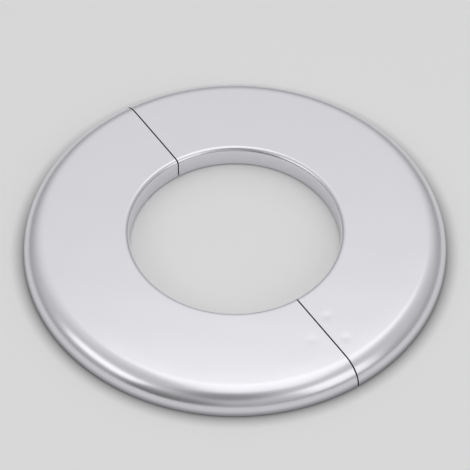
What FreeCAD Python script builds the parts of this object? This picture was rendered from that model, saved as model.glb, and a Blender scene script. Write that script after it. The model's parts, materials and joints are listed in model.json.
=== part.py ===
"""Split collar that covers the hole where a heating pipe leaves a wall or a floor.

Two equal halves of pressed sheet steel meet at a straight seam. Each half has a rim rolled
down to the wall, a flat top and a short neck turned down round the pipe. Under the top, each
half carries a forked clip at one end of its seam and a headed stud at the other, so that two
copies of the same half, one turned through 180 degrees, snap together round the pipe.

Millimetres. The origin is on the pipe's axis in the plane of the wall, +Z points away from the
wall, and the seam runs along Y with the left half at -X.
"""
import FreeCAD
import Part
import Sketcher
import math
import os

doc = FreeCAD.newDocument("pipe_collar")

# Driving dimensions
SIZES = {
    "outer_dia": 100.0,       # across the rim at the wall
    "bore_dia": 50.0,         # inside the neck, for a pipe of 48.3
    "collar_height": 5.5,     # wall to top face
    "sheet_gauge": 0.6,       # pressed sheet of the halves
    "rim_land": 0.5,          # upright edge at the wall, below the quarter round of the rim
    "neck_bend": 0.6,         # bend from top face into neck, inside radius
    "neck_lift": 0.3,         # neck stops this far short of the wall
    "seam_gap": 0.3,          # between the two cut edges when closed
    "clip_inset": 13.0,       # middle of clip and stud, in from the rim along the seam
    "clip_gauge": 0.8,        # strip that the clip is bent from
    "clip_width": 9.6,
    "clip_reach": 7.9,        # fork tips past their own half's cut edge
    "clip_drop": 1.2,         # top of the fork below the underside of the sheet
    "clip_bend": 0.4,         # inside radius of the two bends of the step
    "clip_angle": 60.0,       # slope of the step, in degrees
    "clip_setback": 0.1,      # step ends this far behind the cut edge
    "pad_length": 9.0,        # welded pad, back from the cut edge
    "pad_round": 1.0,         # back corners of the pad
    "seat_reach": 3.9,        # seat of the fork past the cut edge
    "seat_dia": 3.8,
    "throat_lip": 0.3,        # each prong closes over the seat by this much at the throat
    "prong_tip": 1.85,        # width of a prong at its tip
    "prong_round": 0.9,       # corners of the prong tips
    "throat_play": 0.1,       # stud neck to throat, each side
    "stack_play": 0.15,       # fork to stud shoulder, and fork to stud head
    "shoulder_dia": 4.6,
    "head_dia": 5.8,
    "head_thickness": 0.9,
    "head_round": 0.4,
}

sheet = doc.addObject("Spreadsheet::Sheet", "sizes")
for row, (alias, millimetres) in enumerate(SIZES.items(), start=1):
    sheet.set(f"A{row}", alias)
    sheet.set(f"B{row}", str(millimetres))
    sheet.setAlias(f"B{row}", alias)
doc.recompute()

# Fixed numbers by which a sketch knows the points of its lines and arcs, and its own axes
START, END, CENTRE = range(1, 4)
H_AXIS, V_AXIS = range(-1, -3, -1)
ORIGIN = (H_AXIS, START)

HALF_TURN = 180.0
FULL_TURN = 360.0


def size(alias):
    """Value of one driving dimension."""
    return float(sheet.get(alias))


def new_body(label):
    body = doc.addObject("PartDesign::Body", label)
    body.Label = label
    return body


def new_sketch(body, name, plane):
    """Empty sketch on one of the body's own origin planes."""
    sketch = body.newObject("Sketcher::SketchObject", f"{body.Name}_{name}")
    support = next(feature for feature in body.Origin.OriginFeatures if feature.Role == plane)
    sketch.AttachmentSupport = (support, [""])
    sketch.MapMode = "FlatFace"
    return sketch


def line(sketch, first, last):
    """Adds a line between two (x, y) points and gives its number."""
    ends = [FreeCAD.Vector(x, y, 0) for x, y in (first, last)]
    return sketch.addGeometry(Part.LineSegment(*ends), False)


def arc(sketch, centre, radius, first, last):
    """Adds the arc that runs anticlockwise between two (x, y) points and gives its number."""
    middle = FreeCAD.Vector(*centre, 0)
    circle = Part.Circle(middle, FreeCAD.Vector(0, 0, 1), radius)
    ends = [circle.parameter(FreeCAD.Vector(x, y, 0)) for x, y in (first, last)]
    if ends[1] <= ends[0]:
        ends[1] += circle.LastParameter
    return sketch.addGeometry(Part.ArcOfCircle(circle, *ends), False)


def tie(sketch, kind, *where):
    """Adds one geometric constraint."""
    sketch.addConstraint(Sketcher.Constraint(kind, *where))


def measure(sketch, name, kind, where, expression):
    """Adds one dimension and binds it to the driving dimensions."""
    value = sketch.evalExpression(expression)
    value = float(getattr(value, "Value", value))
    number = sketch.addConstraint(Sketcher.Constraint(kind, *where, value))
    sketch.renameConstraint(number, name)
    sketch.setExpression(f"Constraints.{name}", expression)


def place(body, turn, x, y, z):
    """Turns a body about Z and binds its place to the driving dimensions."""
    turned = FreeCAD.Rotation(FreeCAD.Vector(0, 0, 1), turn)
    body.Placement = FreeCAD.Placement(FreeCAD.Vector(0, 0, 0), turned)
    body.setExpression("Placement.Base.x", x)
    body.setExpression("Placement.Base.y", y)
    body.setExpression("Placement.Base.z", z)


def sheet_section(body):
    """Section of a half: rolled rim, flat top and neck, one gauge thick, at -X of the axis."""
    outer = size("outer_dia") / 2
    bore = size("bore_dia") / 2
    top = size("collar_height")
    gauge = size("sheet_gauge")
    rim = top - size("rim_land")
    bend = size("neck_bend") + gauge
    lift = size("neck_lift")
    rim_mid = (rim - outer, top - rim)
    bend_mid = (-bore - bend, top - bend)

    section = new_sketch(body, "section", "XZ_Plane")
    land = line(section, (-outer, 0), (-outer, top - rim))
    rim_out = arc(section, rim_mid, rim, (rim - outer, top), (-outer, top - rim))
    face = line(section, (rim - outer, top), (-bore - bend, top))
    bend_out = arc(section, bend_mid, bend, (-bore, top - bend), (-bore - bend, top))
    wall = line(section, (-bore, top - bend), (-bore, lift))
    neck_edge = line(section, (-bore, lift), (-bore - gauge, lift))
    neck_back = line(section, (-bore - gauge, lift), (-bore - gauge, top - bend))
    bend_in = arc(section, bend_mid, bend - gauge,
                  (-bore - gauge, top - bend), (-bore - bend, top - gauge))
    under = line(section, (-bore - bend, top - gauge), (rim - outer, top - gauge))
    rim_in = arc(section, rim_mid, rim - gauge,
                 (rim - outer, top - gauge), (gauge - outer, top - rim))
    rim_back = line(section, (gauge - outer, top - rim), (gauge - outer, 0))
    foot = line(section, (gauge - outer, 0), (-outer, 0))

    tie(section, "Tangent", land, END, rim_out, END)
    tie(section, "Tangent", rim_out, START, face, START)
    tie(section, "Tangent", face, END, bend_out, END)
    tie(section, "Tangent", bend_out, START, wall, START)
    tie(section, "Coincident", wall, END, neck_edge, START)
    tie(section, "Coincident", neck_edge, END, neck_back, START)
    tie(section, "Tangent", neck_back, END, bend_in, START)
    tie(section, "Tangent", bend_in, END, under, START)
    tie(section, "Tangent", under, END, rim_in, START)
    tie(section, "Tangent", rim_in, END, rim_back, START)
    tie(section, "Coincident", rim_back, END, foot, START)
    tie(section, "Coincident", foot, END, land, START)
    tie(section, "Coincident", rim_in, CENTRE, rim_out, CENTRE)
    tie(section, "Coincident", bend_in, CENTRE, bend_out, CENTRE)
    for level in (face, neck_edge, under, foot):
        tie(section, "Horizontal", level)
    for upright in (land, wall, neck_back, rim_back):
        tie(section, "Vertical", upright)
    tie(section, "PointOnObject", land, START, H_AXIS)
    measure(section, "outer_radius", "DistanceX", (land, START, *ORIGIN), "sizes.outer_dia / 2")
    measure(section, "bore_radius", "DistanceX", (wall, END, *ORIGIN), "sizes.bore_dia / 2")
    measure(section, "height", "DistanceY", (*ORIGIN, face, START), "sizes.collar_height")
    measure(section, "lift", "DistanceY", (*ORIGIN, wall, END), "sizes.neck_lift")
    measure(section, "land", "DistanceY", (*ORIGIN, land, END), "sizes.rim_land")
    measure(section, "bend_radius", "Radius", (bend_in,), "sizes.neck_bend")
    measure(section, "gauge", "DistanceX", (foot, END, foot, START), "sizes.sheet_gauge")
    return section


def half_shell(label, turn):
    """Pressed half: its section turned through half a circle, then trimmed to the seam."""
    body = new_body(label)
    pressed = body.newObject("PartDesign::Revolution", f"{label}_pressed")
    pressed.Profile = sheet_section(body)
    pressed.ReferenceAxis = (pressed.Profile[0], ["V_Axis"])
    pressed.Angle = HALF_TURN
    pressed.Midplane = True

    reach = size("outer_dia") / 2
    half_gap = size("seam_gap") / 2
    strip = new_sketch(body, "strip", "XY_Plane")
    cut_edge = line(strip, (-half_gap, -reach), (-half_gap, reach))
    far_end = line(strip, (-half_gap, reach), (half_gap, reach))
    far_edge = line(strip, (half_gap, reach), (half_gap, -reach))
    near_end = line(strip, (half_gap, -reach), (-half_gap, -reach))
    outline = (cut_edge, far_end, far_edge, near_end)
    for edge, following in zip(outline, outline[1:] + outline[:1]):
        tie(strip, "Coincident", edge, END, following, START)
    for edge in (cut_edge, far_edge):
        tie(strip, "Vertical", edge)
    for edge in (far_end, near_end):
        tie(strip, "Horizontal", edge)
    tie(strip, "Symmetric", cut_edge, START, far_edge, START, *ORIGIN)
    measure(strip, "gap", "DistanceX", (far_end, START, far_end, END), "sizes.seam_gap")
    measure(strip, "length", "DistanceY", (cut_edge, START, cut_edge, END), "sizes.outer_dia")
    trimmed = body.newObject("PartDesign::Pocket", f"{label}_trimmed")
    trimmed.Profile = strip
    trimmed.Type = "ThroughAll"
    trimmed.Midplane = True
    place(body, turn, "0", "0", "0")
    return body


def step_section(body):
    """Side of a clip: welded pad, sloping step between two equal bends, level fork; z = 0 is welded."""
    gauge = size("clip_gauge")
    drop = size("clip_drop")
    inside = size("clip_bend")
    reach = size("clip_reach")
    back = size("pad_length")
    slope = math.radians(size("clip_angle"))
    outside = inside + gauge
    across = math.sin(slope)
    up = math.cos(slope)
    ramp = (drop - (inside + outside) * (1 - up)) / across
    low_mid = (-size("clip_setback"), inside - drop)
    high_mid = (low_mid[0] - (inside + outside) * across - ramp * up, -outside)

    def below(radius):
        """Where the slope leaves the upper bend, on the face with that radius."""
        return (high_mid[0] + radius * across, high_mid[1] + radius * up)

    def above(radius):
        """Where the slope meets the lower bend, on the face with that radius."""
        return (low_mid[0] - radius * across, low_mid[1] - radius * up)

    section = new_sketch(body, "section", "XZ_Plane")
    pad_top = line(section, (-back, 0), (high_mid[0], 0))
    high_out = arc(section, high_mid, outside, below(outside), (high_mid[0], 0))
    ramp_top = line(section, below(outside), above(inside))
    low_in = arc(section, low_mid, inside, above(inside), (low_mid[0], -drop))
    fork_top = line(section, (low_mid[0], -drop), (reach, -drop))
    tip = line(section, (reach, -drop), (reach, -drop - gauge))
    fork_bottom = line(section, (reach, -drop - gauge), (low_mid[0], -drop - gauge))
    low_out = arc(section, low_mid, outside, above(outside), (low_mid[0], -drop - gauge))
    ramp_bottom = line(section, above(outside), below(inside))
    high_in = arc(section, high_mid, inside, below(inside), (high_mid[0], -gauge))
    pad_bottom = line(section, (high_mid[0], -gauge), (-back, -gauge))
    pad_back = line(section, (-back, -gauge), (-back, 0))

    tie(section, "Tangent", pad_top, END, high_out, END)
    tie(section, "Tangent", high_out, START, ramp_top, START)
    tie(section, "Tangent", ramp_top, END, low_in, START)
    tie(section, "Tangent", low_in, END, fork_top, START)
    tie(section, "Coincident", fork_top, END, tip, START)
    tie(section, "Coincident", tip, END, fork_bottom, START)
    tie(section, "Tangent", fork_bottom, END, low_out, END)
    tie(section, "Tangent", low_out, START, ramp_bottom, START)
    tie(section, "Tangent", ramp_bottom, END, high_in, START)
    tie(section, "Tangent", high_in, END, pad_bottom, START)
    tie(section, "Coincident", pad_bottom, END, pad_back, START)
    tie(section, "Coincident", pad_back, END, pad_top, START)
    tie(section, "Coincident", high_in, CENTRE, high_out, CENTRE)
    tie(section, "Coincident", low_in, CENTRE, low_out, CENTRE)
    for level in (pad_top, fork_top, fork_bottom, pad_bottom):
        tie(section, "Horizontal", level)
    for upright in (tip, pad_back):
        tie(section, "Vertical", upright)
    tie(section, "Parallel", ramp_top, ramp_bottom)
    tie(section, "Equal", high_in, low_in)
    tie(section, "PointOnObject", pad_top, START, H_AXIS)
    measure(section, "gauge", "DistanceY", (pad_back, START, pad_back, END), "sizes.clip_gauge")
    measure(section, "drop", "DistanceY", (fork_top, END, *ORIGIN), "sizes.clip_drop")
    measure(section, "bend", "Radius", (high_in,), "sizes.clip_bend")
    measure(section, "slope", "Angle", (pad_top, END, ramp_top, START),
            "(180 - sizes.clip_angle) * 1 deg")
    measure(section, "reach", "DistanceX", (*ORIGIN, tip, START), "sizes.clip_reach")
    measure(section, "back", "DistanceX", (pad_back, START, *ORIGIN), "sizes.pad_length")
    measure(section, "setback", "DistanceX", (low_in, CENTRE, *ORIGIN), "sizes.clip_setback")
    return section


def keyhole(body):
    """Plan of the fork's opening: round seat, narrow throat, and a mouth that flares to the tips."""
    reach = size("clip_reach")
    mouth = size("clip_width") / 2 - size("prong_tip")
    seat = size("seat_dia") / 2
    throat = seat - size("throat_lip")
    seat_mid = (size("seat_reach"), 0)
    throat_at = seat_mid[0] + (seat ** 2 - throat ** 2) ** 0.5

    plan = new_sketch(body, "keyhole", "XY_Plane")
    round_seat = arc(plan, seat_mid, seat, (throat_at, throat), (throat_at, -throat))
    lower_flare = line(plan, (throat_at, -throat), (reach, -mouth))
    opening = line(plan, (reach, -mouth), (reach, mouth))
    upper_flare = line(plan, (reach, mouth), (throat_at, throat))
    tie(plan, "Coincident", round_seat, END, lower_flare, START)
    tie(plan, "Coincident", lower_flare, END, opening, START)
    tie(plan, "Coincident", opening, END, upper_flare, START)
    tie(plan, "Coincident", upper_flare, END, round_seat, START)
    tie(plan, "PointOnObject", round_seat, CENTRE, H_AXIS)
    tie(plan, "Vertical", round_seat, START, round_seat, END)
    tie(plan, "Symmetric", opening, START, opening, END, H_AXIS)
    measure(plan, "seat_at", "DistanceX", (*ORIGIN, round_seat, CENTRE), "sizes.seat_reach")
    measure(plan, "seat_radius", "Radius", (round_seat,), "sizes.seat_dia / 2")
    measure(plan, "throat", "DistanceY", (round_seat, END, round_seat, START),
            "sizes.seat_dia - 2 * sizes.throat_lip")
    measure(plan, "reach", "DistanceX", (*ORIGIN, opening, START), "sizes.clip_reach")
    measure(plan, "mouth", "DistanceY", (opening, START, opening, END),
            "sizes.clip_width - 2 * sizes.prong_tip")
    return plan


def upright_edges(feature, x):
    """Names of the vertical edges of a feature at one distance from the cut edge."""
    close = 1e-4
    names = []
    for number, edge in enumerate(feature.Shape.Edges, start=1):
        box = edge.BoundBox
        at_x = abs(box.XMin - x) < close and abs(box.XMax - x) < close
        if at_x and box.YLength < close and box.ZLength > close:
            names.append(f"Edge{number}")
    return names


def rounded(body, name, base, x, radius):
    """Rounds the vertical edges at x by a radius bound to the driving dimensions."""
    doc.recompute()
    fillet = body.newObject("PartDesign::Fillet", f"{body.Name}_{name}")
    fillet.Base = (base, upright_edges(base, x))
    fillet.setExpression("Radius", radius)
    return fillet


def fork_clip(label, turn, side):
    """Clip bent from strip: a pad welded under its own half, and a fork that takes the stud."""
    body = new_body(label)
    strip = body.newObject("PartDesign::Pad", f"{label}_strip")
    strip.Profile = step_section(body)
    strip.Midplane = True
    strip.setExpression("Length", "sizes.clip_width")
    slot = body.newObject("PartDesign::Pocket", f"{label}_slot")
    slot.Profile = keyhole(body)
    slot.Type = "ThroughAll"
    slot.Midplane = True
    prongs = rounded(body, "prong_tips", slot, size("clip_reach"),
                     "min(sizes.prong_round; 0.45 * sizes.prong_tip)")
    rounded(body, "pad_corners", prongs, -size("pad_length"),
            "min(sizes.pad_round; 0.45 * sizes.clip_width)")
    place(body, turn, f"{side} * sizes.seam_gap / 2",
          f"{-side} * (sizes.outer_dia / 2 - sizes.clip_inset)",
          "sizes.collar_height - sizes.sheet_gauge")
    return body


def stud(label, turn, side):
    """Turned stud welded under a half: shoulder, neck that the fork grips, and rounded head."""
    shoulder = size("shoulder_dia") / 2
    shoulder_end = size("stack_play") - size("clip_drop")
    neck = size("seat_dia") / 2 - size("throat_lip") - size("throat_play")
    neck_end = -size("clip_drop") - size("clip_gauge") - size("stack_play")
    head = size("head_dia") / 2
    head_end = neck_end - size("head_thickness")
    corners = [(0, 0), (shoulder, 0), (shoulder, shoulder_end), (neck, shoulder_end),
               (neck, neck_end), (head, neck_end), (head, head_end), (0, head_end)]

    body = new_body(label)
    section = new_sketch(body, "section", "XZ_Plane")
    edges = [line(section, *ends) for ends in zip(corners, corners[1:] + corners[:1])]
    welded, shoulder_side, ledge, neck_side, head_top, head_side, head_face, axis = edges
    for edge, following in zip(edges, edges[1:] + edges[:1]):
        tie(section, "Coincident", edge, END, following, START)
    for level in (welded, ledge, head_top, head_face):
        tie(section, "Horizontal", level)
    for upright in (shoulder_side, neck_side, head_side):
        tie(section, "Vertical", upright)
    tie(section, "Coincident", welded, START, *ORIGIN)
    tie(section, "PointOnObject", axis, START, V_AXIS)
    measure(section, "shoulder", "DistanceX", (*ORIGIN, ledge, START), "sizes.shoulder_dia / 2")
    measure(section, "ledge", "DistanceY", (ledge, START, *ORIGIN),
            "sizes.clip_drop - sizes.stack_play")
    measure(section, "neck", "DistanceX", (*ORIGIN, neck_side, END),
            "sizes.seat_dia / 2 - sizes.throat_lip - sizes.throat_play")
    measure(section, "grip", "DistanceY", (neck_side, END, neck_side, START),
            "sizes.clip_gauge + 2 * sizes.stack_play")
    measure(section, "head", "DistanceX", (*ORIGIN, head_side, END), "sizes.head_dia / 2")
    measure(section, "head_depth", "DistanceY", (head_side, END, head_side, START),
            "sizes.head_thickness")

    turned = body.newObject("PartDesign::Revolution", f"{label}_turned")
    turned.Profile = section
    turned.ReferenceAxis = (section, ["V_Axis"])
    turned.Angle = FULL_TURN
    doc.recompute()
    rim = max(enumerate(turned.Shape.Edges, start=1),
              key=lambda item: item[1].BoundBox.XLength - item[1].BoundBox.ZMax)[0]
    head_edge = body.newObject("PartDesign::Fillet", f"{label}_head_edge")
    head_edge.Base = (turned, [f"Edge{rim}"])
    head_edge.setExpression("Radius", "min(sizes.head_round; 0.45 * sizes.head_thickness)")
    place(body, turn, f"{side} * (sizes.seat_reach - sizes.seam_gap / 2)",
          f"{side} * (sizes.outer_dia / 2 - sizes.clip_inset)",
          "sizes.collar_height - sizes.sheet_gauge")
    return body


# The two equal halves, the second one turned about the pipe's axis
pieces = []
for name, turn, side in (("left", 0.0, -1), ("right", HALF_TURN, 1)):
    pieces.append(half_shell(f"{name}_half_shell", turn))
    pieces.append(fork_clip(f"{name}_fork_clip", turn, side))
    pieces.append(stud(f"{name}_stud", turn, side))
doc.recompute()

# Nothing is written unless every object is sound
for item in doc.Objects:
    if "Invalid" in item.State or "Error" in item.State:
        raise RuntimeError(f"{item.Label} failed: {item.State}")
    if item.TypeId == "Sketcher::SketchObject" and not item.FullyConstrained:
        raise RuntimeError(f"{item.Label} has a free size")
    if item.TypeId == "PartDesign::Pocket" and item.Shape.Volume >= item.BaseFeature.Shape.Volume:
        raise RuntimeError(f"{item.Label} removes nothing")
for piece in pieces:
    if piece.Shape.isNull() or not piece.Shape.isValid() or len(piece.Shape.Solids) != 1:
        raise RuntimeError(f"{piece.Label} is not one sound solid")

os.makedirs("parts", exist_ok=True)
for piece in pieces:
    piece.Shape.exportStep(f"parts/{piece.Label}.step")
    print(f"{piece.Label}: {piece.Shape.Volume:.2f} mm3")
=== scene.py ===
import json
import math

import bmesh
import bpy
import numpy as np
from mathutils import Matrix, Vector


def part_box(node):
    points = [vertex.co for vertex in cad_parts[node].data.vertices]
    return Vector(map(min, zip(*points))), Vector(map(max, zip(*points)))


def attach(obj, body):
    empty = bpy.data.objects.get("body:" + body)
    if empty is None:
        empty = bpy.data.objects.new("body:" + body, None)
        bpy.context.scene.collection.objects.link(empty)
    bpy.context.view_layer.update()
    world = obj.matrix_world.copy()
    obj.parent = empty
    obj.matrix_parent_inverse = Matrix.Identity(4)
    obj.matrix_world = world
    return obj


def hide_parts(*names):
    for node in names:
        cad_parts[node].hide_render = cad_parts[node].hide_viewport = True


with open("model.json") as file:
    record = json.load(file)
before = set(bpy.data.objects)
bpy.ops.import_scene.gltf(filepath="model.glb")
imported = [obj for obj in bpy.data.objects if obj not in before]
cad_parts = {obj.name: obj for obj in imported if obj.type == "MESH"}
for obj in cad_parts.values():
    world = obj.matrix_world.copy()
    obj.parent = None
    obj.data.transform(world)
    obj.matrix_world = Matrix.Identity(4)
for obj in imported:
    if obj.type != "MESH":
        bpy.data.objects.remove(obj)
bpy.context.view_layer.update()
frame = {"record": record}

# Half shells: two equal pressings of thin steel sheet, plated to a satin silver. Each has a rim
# rolled down to the wall, a flat top and a short neck turned down round the pipe, and is sheared
# straight across where it meets the other half.
MM = 0.001
SHEET_GAUGE = 0.6 * MM
RIM_LAND = 0.5 * MM
NECK_BEND = 0.6 * MM
NECK_LIFT = 0.3 * MM
EDGE_ROUND = 0.05 * MM
CLIP_INSET = 13.0 * MM
SEAT_REACH = 3.9 * MM
WELD_BACK = 2.7 * MM
WELD_SPREAD = 3.7 * MM
WELD_WIDTH = 2.1 * MM
WELD_DEPTH = 0.042 * MM
STUD_MARK_DEPTH = 0.026 * MM
RIPPLE_LENGTH = 17.0 * MM
RIPPLE_HEIGHT = 0.006 * MM
ROLL_OFF = 4.0 * MM
ROLL_DEPTH = 0.035 * MM
LAND_STEPS = 3
RIM_STEPS = 28
FLAT_STEPS = 64
BEND_STEPS = 12
NECK_STEPS = 9
SWEEP_STEPS = 320
JOIN_DISTANCE = 0.001 * MM
EDGE_SEGMENTS = 2
EDGE_ANGLE = np.radians(50)
TURN = {"left": 1.0, "right": -1.0}

shell_low, shell_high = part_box("left_half_shell")
outer_radius = -shell_low.x
half_gap = -shell_high.x
top_height = shell_high.z
bore_mount = next(mount for mount in frame["record"]["mounts"] if mount["name"] == "pipe_bore")
bore_radius = bore_mount["dims"]["r_mm"] * MM
clip_offset = outer_radius - CLIP_INSET


def sheet_line():
    """Middle of the sheet from the rim's foot to the neck's edge, as radius and height: a short
    upright land, a quarter circle, the flat top, a small quarter circle and the upright neck."""
    rim_mid = outer_radius - (top_height - RIM_LAND)
    rim_bend = top_height - RIM_LAND - SHEET_GAUGE / 2
    neck_mid = bore_radius + SHEET_GAUGE + NECK_BEND
    neck_top = top_height - SHEET_GAUGE - NECK_BEND
    neck_bend = NECK_BEND + SHEET_GAUGE / 2
    rise = np.linspace(0, np.pi / 2, RIM_STEPS + 1)
    fall = np.linspace(np.pi / 2, np.pi, BEND_STEPS + 1)
    flat = np.linspace(rim_mid, neck_mid, FLAT_STEPS + 1)[1:-1]
    foot = np.linspace(0, RIM_LAND, LAND_STEPS + 1)[:-1]
    wall = np.linspace(neck_top, NECK_LIFT, NECK_STEPS + 1)[1:]
    radius = [np.full_like(foot, rim_mid + rim_bend), rim_mid + rim_bend * np.cos(rise), flat,
              neck_mid + neck_bend * np.cos(fall), np.full_like(wall, neck_mid - neck_bend)]
    height = [foot, RIM_LAND + rim_bend * np.sin(rise), np.full_like(flat, RIM_LAND + rim_bend),
              neck_top + neck_bend * np.sin(fall), wall]
    return np.concatenate(radius), np.concatenate(height)


def dent(x, y, at_x, at_y, width):
    """Round hollow of depth one: the bell curve of the distance from its middle."""
    return np.exp(-((x - at_x) ** 2 + (y - at_y) ** 2) / (width / 2) ** 2)


def pressed_sheet(turn):
    """Half shell's middle surface: the sheet line swept from cut edge to cut edge. The top sinks a
    little over the welds of the clip and the stud, falls off as a square into the rim's bend, and
    ripples by a product of two sines, out of step between the halves. All of this fades from the
    top's level to nothing at half the height."""
    radius, height = sheet_line()
    share = np.linspace(0, 1, SWEEP_STEPS + 1)
    setback = np.arcsin(half_gap / radius)[:, None]
    angle = np.pi / 2 + setback + share[None, :] * (np.pi - 2 * setback)
    x = radius[:, None] * np.cos(angle)
    y = radius[:, None] * np.sin(angle)
    level = np.clip((height - top_height / 2) / (top_height / 2 - SHEET_GAUGE / 2), 0, 1)[:, None]
    sink = sum(dent(x, y, -half_gap - WELD_BACK, clip_offset + side, WELD_WIDTH)
               for side in (-WELD_SPREAD, WELD_SPREAD)) * WELD_DEPTH
    sink += dent(x, y, half_gap - SEAT_REACH, -clip_offset, WELD_WIDTH) * STUD_MARK_DEPTH
    wave = 2 * np.pi / RIPPLE_LENGTH
    ripple = RIPPLE_HEIGHT * np.sin(wave * x + turn) * np.sin(wave * y + 2 * turn)
    roll_start = outer_radius - (top_height - RIM_LAND) - ROLL_OFF
    into_rim = np.clip(radius - roll_start, 0, None)[:, None]
    sink += ROLL_DEPTH * (into_rim / ROLL_OFF) ** 2
    z = height[:, None] + level * (ripple - sink)
    return np.stack([turn * x, turn * y, z], axis=-1)


def surface_mesh(name, *grids):
    """Mesh object of one or more grids of points, each with a face between every four neighbours;
    grids that share an edge are joined along it."""
    corners = []
    faces = []
    count = 0
    for grid in grids:
        rows, columns = grid.shape[:2]
        index = count + np.arange(rows * columns).reshape(rows, columns)
        quads = np.stack([index[:-1, :-1], index[:-1, 1:], index[1:, 1:], index[1:, :-1]], axis=-1)
        corners.append(grid.reshape(-1, 3))
        faces.append(quads.reshape(-1, 4))
        count += rows * columns
    mesh = bpy.data.meshes.new(name)
    mesh.from_pydata(np.concatenate(corners), [], np.concatenate(faces).tolist())
    work = bmesh.new()
    work.from_mesh(mesh)
    bmesh.ops.remove_doubles(work, verts=work.verts, dist=JOIN_DISTANCE)
    bmesh.ops.recalc_face_normals(work, faces=work.faces)
    work.to_mesh(mesh)
    work.free()
    mesh.polygons.foreach_set("use_smooth", np.ones(len(mesh.polygons), dtype=bool))
    piece = bpy.data.objects.new(name, mesh)
    bpy.context.scene.collection.objects.link(piece)
    return piece


def thicken(piece, gauge, edge_round):
    """Gives a middle surface its gauge, half to each side, and rounds the sheared edges, which take
    the piece's second material."""
    solid = piece.modifiers.new("gauge", "SOLIDIFY")
    solid.thickness = gauge
    solid.offset = 0
    solid.material_offset_rim = 1
    round_over = piece.modifiers.new("sheared_edges", "BEVEL")
    round_over.width = edge_round
    round_over.segments = EDGE_SEGMENTS
    round_over.limit_method = "ANGLE"
    round_over.angle_limit = EDGE_ANGLE
    round_over.harden_normals = True


def hex_colour(code):
    """Linear colour with alpha from an sRGB hex code, by the sRGB curve."""
    srgb = np.array([int(code[i:i + 2], 16) for i in (1, 3, 5)]) / 255
    linear = np.where(srgb <= 0.04045, srgb / 12.92, ((srgb + 0.055) / 1.055) ** 2.4)
    return (*linear.tolist(), 1.0)


def add_node(tree, kind, inputs=None, **settings):
    """Adds a node to a tree, sets its settings, and sets or links its inputs."""
    node = tree.nodes.new(kind)
    for name, value in settings.items():
        setattr(node, name, value)
    for name, value in (inputs or {}).items():
        if isinstance(value, bpy.types.NodeSocket):
            tree.links.new(value, node.inputs[name])
        else:
            node.inputs[name].default_value = value
    return node


def new_material(name):
    """Empty node material and its tree."""
    material = bpy.data.materials.new(name)
    material.use_nodes = True
    material.node_tree.nodes.clear()
    return material, material.node_tree


# Satin nickel plating on cold-rolled sheet: a bright metal with a soft sheen, whose fine even
# grain spreads reflections a little, more in some places than in others. The grain is drawn coarser
# than life so that it shows.
PLATE_COLOUR = "#e8e7ec"
PLATE_ROUGHNESS = (0.215, 0.265)
GRAIN_SIZE = 0.3 * MM
CLOUD_SIZE = 14.0 * MM
GRAIN_RELIEF = 0.026
GRAIN_DETAIL = 2.0
CLOUD_DETAIL = 3.0
NOISE_LOW = 0.3
NOISE_HIGH = 0.7

satin_plate, tree = new_material("satin_nickel_plate")
place = add_node(tree, "ShaderNodeTexCoord").outputs["Object"]
grain = add_node(tree, "ShaderNodeTexNoise", {
    "Vector": place, "Scale": 1 / GRAIN_SIZE, "Detail": GRAIN_DETAIL})
cloud = add_node(tree, "ShaderNodeTexNoise", {
    "Vector": place, "Scale": 1 / CLOUD_SIZE, "Detail": CLOUD_DETAIL})
sheen = add_node(tree, "ShaderNodeMapRange", {
    "Value": cloud.outputs["Fac"], "From Min": NOISE_LOW, "From Max": NOISE_HIGH,
    "To Min": PLATE_ROUGHNESS[0], "To Max": PLATE_ROUGHNESS[1]})
relief = add_node(tree, "ShaderNodeBump", {
    "Height": grain.outputs["Fac"], "Strength": GRAIN_RELIEF, "Distance": GRAIN_SIZE})
plate = add_node(tree, "ShaderNodeBsdfPrincipled", {
    "Base Color": hex_colour(PLATE_COLOUR), "Metallic": 1.0,
    "Roughness": sheen.outputs["Result"], "Normal": relief.outputs["Normal"]})
add_node(tree, "ShaderNodeOutputMaterial", {"Surface": plate.outputs["BSDF"]})

# Sheared edge of the sheet, and of the clips' strip: bare steel torn by the blade, duller and darker
# than the plating.
EDGE_COLOUR = "#a2a2a5"
EDGE_ROUGHNESS = (0.32, 0.5)
TEAR_SIZE = 0.5 * MM
TEAR_DETAIL = 3.0

sheared_edge, tree = new_material("sheared_steel_edge")
place = add_node(tree, "ShaderNodeTexCoord").outputs["Object"]
tear = add_node(tree, "ShaderNodeTexNoise", {
    "Vector": place, "Scale": 1 / TEAR_SIZE, "Detail": TEAR_DETAIL})
dull = add_node(tree, "ShaderNodeMapRange", {
    "Value": tear.outputs["Fac"], "From Min": NOISE_LOW, "From Max": NOISE_HIGH,
    "To Min": EDGE_ROUGHNESS[0], "To Max": EDGE_ROUGHNESS[1]})
edge = add_node(tree, "ShaderNodeBsdfPrincipled", {
    "Base Color": hex_colour(EDGE_COLOUR), "Metallic": 1.0, "Roughness": dull.outputs["Result"]})
add_node(tree, "ShaderNodeOutputMaterial", {"Surface": edge.outputs["BSDF"]})

for half, turn in TURN.items():
    shell = surface_mesh(f"{half}_plated_shell", pressed_sheet(turn))
    shell.data.materials.append(satin_plate)
    shell.data.materials.append(sheared_edge)
    thicken(shell, SHEET_GAUGE, EDGE_ROUND)
    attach(shell, f"{half}_half")
    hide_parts(f"{half}_half_shell")

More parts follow.
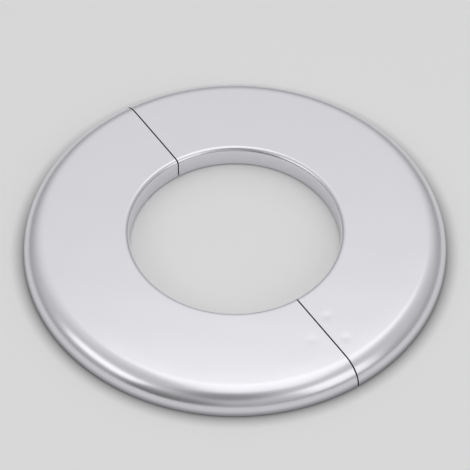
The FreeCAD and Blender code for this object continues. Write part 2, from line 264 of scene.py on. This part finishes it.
# Fork clips: one under each half, stamped from steel strip and left bare. A pad is spot-welded
# under the top, a step takes the strip down, and a keyhole between two prongs grips the stud.
CLIP_GAUGE = 0.8 * MM
CLIP_WIDTH = 9.6 * MM
CLIP_REACH = 7.9 * MM
CLIP_DROP = 1.2 * MM
CLIP_BEND = 0.4 * MM
CLIP_SLOPE = np.radians(60)
CLIP_SETBACK = 0.1 * MM
PAD_LENGTH = 9.0 * MM
PAD_ROUND = 1.0 * MM
SEAT_RADIUS = 1.9 * MM
THROAT_LIP = 0.3 * MM
PRONG_TIP = 1.85 * MM
PRONG_ROUND = 0.83 * MM
CLIP_EDGE_ROUND = 0.05 * MM
FORK_ROOT = 0.7 * MM
SIDE_STEPS = 14
BACK_STEPS = 28
TIP_STEPS = 12
TIP_MARGIN = 0.125
TIP_ARC_STEPS = 23
STRIP_BEND_STEPS = 8
PAD_STEPS = 39
BOW_FADE = 12
underside = top_height - SHEET_GAUGE


def along(points, shares):
    """Points at the given shares of the length of a line of corners."""
    points = np.asarray(points, dtype=float)
    length = np.concatenate([[0], np.cumsum(np.hypot(*np.diff(points, axis=0).T))])
    at = np.asarray(shares) * length[-1]
    return np.stack([np.interp(at, length, points[:, axis]) for axis in (0, 1)], axis=-1)


def arc_points(middle, radius, first, last, steps):
    """Points at equal steps along an arc, from one angle to another."""
    angle = np.linspace(first, last, steps + 1)
    return np.stack([middle[0] + radius * np.cos(angle), middle[1] + radius * np.sin(angle)], axis=-1)


def patch(inner, outer, start, end):
    """Surface between four edges: straight lines from the inner edge to the outer one, to which each
    end adds the bow of its own edge, fading as a high power of the distance from that end."""
    s = np.linspace(0, 1, len(inner))[:, None, None]
    t = np.linspace(0, 1, len(start))[None, :, None]
    lines = (1 - t) * inner[:, None] + t * outer[:, None]
    start_bow = start[None] - lines[:1]
    end_bow = end[None] - lines[-1:]
    return lines + (1 - s) ** BOW_FADE * start_bow + s ** BOW_FADE * end_bow


def fork_plan():
    """Level fork seen from above, as a patch round its keyhole: the inner edge is flare, seat and
    flare, the outer edge is side, root and side, and the two ends are the rounded prong tips."""
    side = CLIP_WIDTH / 2
    throat = SEAT_RADIUS - THROAT_LIP
    throat_x = SEAT_REACH + np.sqrt(SEAT_RADIUS ** 2 - throat ** 2)
    mouth = side - PRONG_TIP
    lean = np.arctan2(mouth - throat, CLIP_REACH - throat_x)
    tip_x = CLIP_REACH - PRONG_ROUND
    inner_y = mouth + PRONG_ROUND * (1 - np.sin(lean)) / np.cos(lean)
    inner_bow = arc_points((tip_x, inner_y), PRONG_ROUND, lean - np.pi / 2, 0, TIP_ARC_STEPS)
    outer_bow = arc_points((tip_x, side - PRONG_ROUND), PRONG_ROUND, 0, np.pi / 2, TIP_ARC_STEPS)
    tip_shares = np.concatenate([[0], np.linspace(TIP_MARGIN, 1 - TIP_MARGIN, TIP_STEPS + 1), [1]])
    side_shares = np.linspace(0, 1, SIDE_STEPS + 1)
    back_shares = np.linspace(0, 1, BACK_STEPS + 1)
    tip = along(np.concatenate([inner_bow, outer_bow]), tip_shares)
    opening = np.arctan2(throat, throat_x - SEAT_REACH)
    seat = arc_points((SEAT_REACH, 0), SEAT_RADIUS, opening, 2 * np.pi - opening,
                      2 * SIDE_STEPS + BACK_STEPS)
    flare = along([tip[0], (throat_x, throat)], side_shares)
    beside = along([tip[-1], (throat_x, side)], side_shares)
    behind = along([(throat_x, side), (FORK_ROOT, side)], side_shares)
    root = along([(FORK_ROOT, side), (FORK_ROOT, -side)], back_shares)
    mirror = np.array([1, -1])
    inner = np.concatenate([flare, seat[1:-1], (flare * mirror)[::-1]])
    outer = np.concatenate([beside, behind[1:], root[1:-1],
                            (behind * mirror)[::-1], (beside * mirror)[::-1][1:]])
    return patch(inner, outer, tip, tip * mirror)


def stepped_strip():
    """Strip from the fork's root to the back of the pad: a level run, two equal bends with a slope
    between them, and the pad, which narrows as a quarter circle at its back corners."""
    bend = CLIP_BEND + CLIP_GAUGE / 2
    slope_run = (CLIP_DROP - 2 * bend * (1 - np.cos(CLIP_SLOPE))) / np.tan(CLIP_SLOPE)
    low_mid = (-CLIP_SETBACK, bend - CLIP_DROP)
    high_mid = (low_mid[0] - 2 * bend * np.sin(CLIP_SLOPE) - slope_run, -bend)
    low = arc_points(low_mid, bend, -np.pi / 2, -np.pi / 2 - CLIP_SLOPE, STRIP_BEND_STEPS)
    high = arc_points(high_mid, bend, np.pi / 2 - CLIP_SLOPE, np.pi / 2, STRIP_BEND_STEPS)
    pad = np.linspace(high_mid[0], -PAD_LENGTH, PAD_STEPS + 1)[1:]
    path = np.concatenate([[(FORK_ROOT, -CLIP_DROP)], low, high,
                           np.stack([pad, np.zeros_like(pad)], axis=-1)])
    into_corner = np.clip(PAD_ROUND - (path[:, 0] + PAD_LENGTH), 0, PAD_ROUND)
    half = CLIP_WIDTH / 2 - PAD_ROUND + np.sqrt(PAD_ROUND ** 2 - into_corner ** 2)
    across = np.linspace(1, -1, BACK_STEPS + 1)
    x = np.repeat(path[:, :1], BACK_STEPS + 1, axis=1)
    z = np.repeat(path[:, 1:], BACK_STEPS + 1, axis=1)
    return np.stack([x, half[:, None] * across, z], axis=-1)


def set_clip(points, turn):
    """Puts clip points, measured from the cut edge and the underside, under their own half."""
    middle = np.array([-half_gap, clip_offset, underside - CLIP_GAUGE / 2])
    return (points + middle) * np.array([turn, turn, 1])


# Cold-rolled strip as it leaves the press: grey, low sheen, with faint rolling lines along it;
# the lines are drawn wider than life so that they show.
STRIP_COLOUR = "#b4b4b6"
STRIP_ROUGHNESS = (0.34, 0.48)
LINE_SIZE = 0.3 * MM
LINE_STRETCH = 12.0
LINE_DETAIL = 3.0
STRIP_RELIEF = 0.05

rolled_strip, tree = new_material("cold_rolled_strip")
place = add_node(tree, "ShaderNodeTexCoord").outputs["Object"]
drawn = add_node(tree, "ShaderNodeMapping", {
    "Vector": place, "Scale": (1 / LINE_STRETCH, 1.0, 1.0)})
lines = add_node(tree, "ShaderNodeTexNoise", {
    "Vector": drawn.outputs["Vector"], "Scale": 1 / LINE_SIZE, "Detail": LINE_DETAIL})
dull = add_node(tree, "ShaderNodeMapRange", {
    "Value": lines.outputs["Fac"], "From Min": NOISE_LOW, "From Max": NOISE_HIGH,
    "To Min": STRIP_ROUGHNESS[0], "To Max": STRIP_ROUGHNESS[1]})
relief = add_node(tree, "ShaderNodeBump", {
    "Height": lines.outputs["Fac"], "Strength": STRIP_RELIEF, "Distance": LINE_SIZE})
strip = add_node(tree, "ShaderNodeBsdfPrincipled", {
    "Base Color": hex_colour(STRIP_COLOUR), "Metallic": 1.0,
    "Roughness": dull.outputs["Result"], "Normal": relief.outputs["Normal"]})
add_node(tree, "ShaderNodeOutputMaterial", {"Surface": strip.outputs["BSDF"]})

plan = fork_plan()
level_fork = np.concatenate([plan, np.full_like(plan[..., :1], -CLIP_DROP)], axis=-1)
for half, turn in TURN.items():
    clip = surface_mesh(f"{half}_keyhole_clip", set_clip(level_fork, turn),
                        set_clip(stepped_strip(), turn))
    clip.data.materials.append(rolled_strip)
    clip.data.materials.append(sheared_edge)
    thicken(clip, CLIP_GAUGE, CLIP_EDGE_ROUND)
    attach(clip, f"{half}_half")
    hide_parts(f"{half}_fork_clip")

# Studs: one under each half, turned from steel bar and welded by the shoulder. The other half's
# fork slides in between shoulder and head and closes round the neck.
SHOULDER_RADIUS = 2.3 * MM
NECK_CLEARANCE = 0.1 * MM
NECK_RADIUS = SEAT_RADIUS - THROAT_LIP - NECK_CLEARANCE
HEAD_RADIUS = 2.9 * MM
HEAD_THICKNESS = 0.9 * MM
HEAD_ROUND = 0.4 * MM
EDGE_BREAK = 0.1 * MM
STACK_PLAY = 0.15 * MM
HEAD_ROUND_STEPS = 8
LATHE_STEPS = 96
SHARP_ANGLE = np.radians(35)


def stud_line():
    """Stud's outline from the weld down to the middle of the head: shoulder, neck and head, with
    the shoulder's and the head's upper edges broken and the head's lower edge rounded."""
    ledge = STACK_PLAY - CLIP_DROP
    head_top = -CLIP_DROP - CLIP_GAUGE - STACK_PLAY
    head_end = head_top - HEAD_THICKNESS
    bow = arc_points((HEAD_RADIUS - HEAD_ROUND, head_end + HEAD_ROUND), HEAD_ROUND, 0, -np.pi / 2,
                     HEAD_ROUND_STEPS)
    upper = [(0, 0), (SHOULDER_RADIUS, 0), (SHOULDER_RADIUS, ledge + EDGE_BREAK),
             (SHOULDER_RADIUS - EDGE_BREAK, ledge), (NECK_RADIUS, ledge), (NECK_RADIUS, head_top),
             (HEAD_RADIUS - EDGE_BREAK, head_top), (HEAD_RADIUS, head_top - EDGE_BREAK)]
    return np.concatenate([upper, bow, [(0, head_end)]])


def turned_stud(turn):
    """Stud's outline carried round its axis, under its own half and in line with the seat."""
    outline = stud_line()
    angle = np.linspace(0, 2 * np.pi, LATHE_STEPS + 1)
    x = outline[:, :1] * np.cos(angle) + half_gap - SEAT_REACH
    y = outline[:, :1] * np.sin(angle) - clip_offset
    z = np.repeat(outline[:, 1:] + underside, LATHE_STEPS + 1, axis=1)
    return np.stack([turn * x, turn * y, z], axis=-1)


# Bright drawn bar after turning: a little shinier than the strip, with a fine uneven sheen from
# the tool, about as fine as the tool's step.
BAR_COLOUR = "#bcbcbe"
BAR_ROUGHNESS = (0.26, 0.38)
TOOL_STEP = 0.2 * MM
TOOL_DETAIL = 2.0

turned_bar, tree = new_material("turned_steel_bar")
place = add_node(tree, "ShaderNodeTexCoord").outputs["Object"]
marks = add_node(tree, "ShaderNodeTexNoise", {
    "Vector": place, "Scale": 1 / TOOL_STEP, "Detail": TOOL_DETAIL})
dull = add_node(tree, "ShaderNodeMapRange", {
    "Value": marks.outputs["Fac"], "From Min": NOISE_LOW, "From Max": NOISE_HIGH,
    "To Min": BAR_ROUGHNESS[0], "To Max": BAR_ROUGHNESS[1]})
bar = add_node(tree, "ShaderNodeBsdfPrincipled", {
    "Base Color": hex_colour(BAR_COLOUR), "Metallic": 1.0, "Roughness": dull.outputs["Result"]})
add_node(tree, "ShaderNodeOutputMaterial", {"Surface": bar.outputs["BSDF"]})

for half, turn in TURN.items():
    stud = surface_mesh(f"{half}_headed_stud", turned_stud(turn))
    stud.data.materials.append(turned_bar)
    stud.data.set_sharp_from_angle(angle=SHARP_ANGLE)
    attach(stud, f"{half}_half")
    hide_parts(f"{half}_stud")

# Camera: a long lens that looks down on the collar, with the seam running from far left to near
# right as in the photograph. The collar fills most of the frame.
VIEW_AZIMUTH = math.radians(-33.4)
VIEW_ELEVATION = math.radians(50)
VIEW_DISTANCE = 8.9 * outer_radius
FRAME_FILL = 0.9
to_right = Vector((math.cos(VIEW_AZIMUTH), math.sin(VIEW_AZIMUTH), 0))
to_back = Vector((-math.sin(VIEW_AZIMUTH), math.cos(VIEW_AZIMUTH), 0))
to_sky = Vector((0, 0, 1))
aim = Vector((0, 0, top_height / 2))

lens = bpy.data.cameras.new("long_lens")
lens.lens = lens.sensor_width * FRAME_FILL * VIEW_DISTANCE / (2 * outer_radius)
camera = bpy.data.objects.new("camera", lens)
to_camera = math.sin(VIEW_ELEVATION) * to_sky - math.cos(VIEW_ELEVATION) * to_back
camera.location = aim + VIEW_DISTANCE * to_camera
camera.rotation_euler = (-to_camera).to_track_quat("-Z", "Y").to_euler()
bpy.context.scene.collection.objects.link(camera)
bpy.context.scene.camera = camera


# Studio: three soft boxes, one overhead and one to each side of the camera, over a pale floor.
# The boxes give the rim its bright bands.
def bearing_vector(bearing, elevation):
    """Direction seen from the collar, from angles in degrees: bearing is from the camera's side to
    the right, elevation is up from the floor."""
    turned = math.radians(bearing)
    raised = math.radians(elevation)
    level = math.sin(turned) * to_right - math.cos(turned) * to_back
    return math.cos(raised) * level + math.sin(raised) * to_sky


def soft_box(name, bearing, elevation, distance, wide, high, radiance, aside=0.0):
    """Area lamp that faces the collar, or a point to its right. Its power is its radiance times its
    area times pi."""
    towards = bearing_vector(bearing, elevation)
    lamp = bpy.data.lights.new(name, "AREA")
    lamp.shape = "RECTANGLE"
    lamp.size = wide
    lamp.size_y = high
    lamp.energy = radiance * math.pi * wide * high
    box = bpy.data.objects.new(name, lamp)
    box.location = aim + aside * to_right + distance * towards
    box.rotation_euler = towards.to_track_quat("Z", "Y").to_euler()
    bpy.context.scene.collection.objects.link(box)


soft_box("overhead_box", bearing=180, elevation=82.4, distance=0.7, wide=0.44, high=0.67,
         radiance=0.46, aside=0.09)
soft_box("left_box", bearing=-66, elevation=34, distance=0.8, wide=0.52, high=0.30, radiance=0.70)
soft_box("right_box", bearing=49.5, elevation=29.5, distance=0.8, wide=0.45, high=0.44, radiance=0.65)

# Floor: plain, matt and pale. The shadow where the rim meets it is deepened, and fades towards the
# bore, where the ground stays bright as in the photograph.
FLOOR_SIZE = 3.0
FLOOR_STEPS = 2
FLOOR_DROP = 0.02 * MM
FLOOR_COLOUR = "#fafafa"
SHADOW_COLOUR = "#000000"
SHADOW_REACH = 3.5 * MM
SHADOW_DEPTH = 1.4

spread = np.linspace(-FLOOR_SIZE / 2, FLOOR_SIZE / 2, FLOOR_STEPS + 1)
floor_x, floor_y = np.meshgrid(spread, spread, indexing="ij")
floor_z = np.full_like(floor_x, -FLOOR_DROP)
floor = surface_mesh("floor", np.stack([floor_x, floor_y, floor_z], axis=-1))
# Painted shadow: the floor's colour is mixed towards black by the share of sky hidden within the reach,
# deepened by a factor that grows from nothing at the bore to its full depth at the rim.
pale_floor, tree = new_material("pale_floor")
place = add_node(tree, "ShaderNodeTexCoord").outputs["Object"]
from_axis = add_node(tree, "ShaderNodeVectorMath", {0: place}, operation="LENGTH")
depth = add_node(tree, "ShaderNodeMapRange", {
    "Value": from_axis.outputs["Value"], "From Min": bore_radius, "From Max": outer_radius,
    "To Min": 0.0, "To Max": SHADOW_DEPTH})
open_sky = add_node(tree, "ShaderNodeAmbientOcclusion", {"Distance": SHADOW_REACH})
hidden = add_node(tree, "ShaderNodeMath", {0: 1.0, 1: open_sky.outputs["AO"]}, operation="SUBTRACT")
shadow = add_node(tree, "ShaderNodeMath", {
    0: hidden.outputs["Value"], 1: depth.outputs["Result"]}, operation="MULTIPLY")
shaded = add_node(tree, "ShaderNodeMixRGB", {
    "Fac": shadow.outputs["Value"], "Color1": hex_colour(FLOOR_COLOUR),
    "Color2": hex_colour(SHADOW_COLOUR)})
matt = add_node(tree, "ShaderNodeBsdfDiffuse", {"Color": shaded.outputs["Color"]})
add_node(tree, "ShaderNodeOutputMaterial", {"Surface": matt.outputs["BSDF"]})
floor.data.materials.append(pale_floor)

# Room: walls that are darker low down, a bright wall behind the collar, and dark places round the
# camera and low to its left, which give the front of the rim its dark bands.
LOW_WALL = 0.37
ROOM_COLOUR = "#ffffff"

world = bpy.data.worlds.new("studio_room")
world.use_nodes = True
tree = world.node_tree
tree.nodes.clear()
direction = add_node(tree, "ShaderNodeTexCoord").outputs["Generated"]


def add_place(level, bearing, elevation, reach, core, change):
    """Level of the room's light with a round place added: the change is whole inside the core and
    fades to nothing at the reach, both in degrees from the place's middle."""
    middle = bearing_vector(bearing, elevation)
    nearness = add_node(tree, "ShaderNodeVectorMath", {0: direction, 1: middle}, operation="DOT_PRODUCT")
    part = add_node(tree, "ShaderNodeMapRange", {
        "Value": nearness.outputs["Value"], "From Min": math.cos(math.radians(reach)),
        "From Max": math.cos(math.radians(core)), "To Min": 0.0, "To Max": change},
        interpolation_type="SMOOTHSTEP")
    return add_node(tree, "ShaderNodeMath", {0: level, 1: part.outputs["Result"]}).outputs["Value"]


level = add_place(LOW_WALL, bearing=0, elevation=90, reach=90, core=46, change=0.24)
level = add_place(level, bearing=180, elevation=53, reach=48, core=0, change=0.185)
level = add_place(level, bearing=-5, elevation=53, reach=22, core=8, change=-0.36)
level = add_place(level, bearing=-30, elevation=16, reach=27, core=11, change=-0.26)
room = add_node(tree, "ShaderNodeBackground", {"Color": hex_colour(ROOM_COLOUR), "Strength": level})
add_node(tree, "ShaderNodeOutputWorld", {"Surface": room.outputs["Background"]})
bpy.context.scene.world = world
bpy.context.scene.view_settings.view_transform = "Standard"
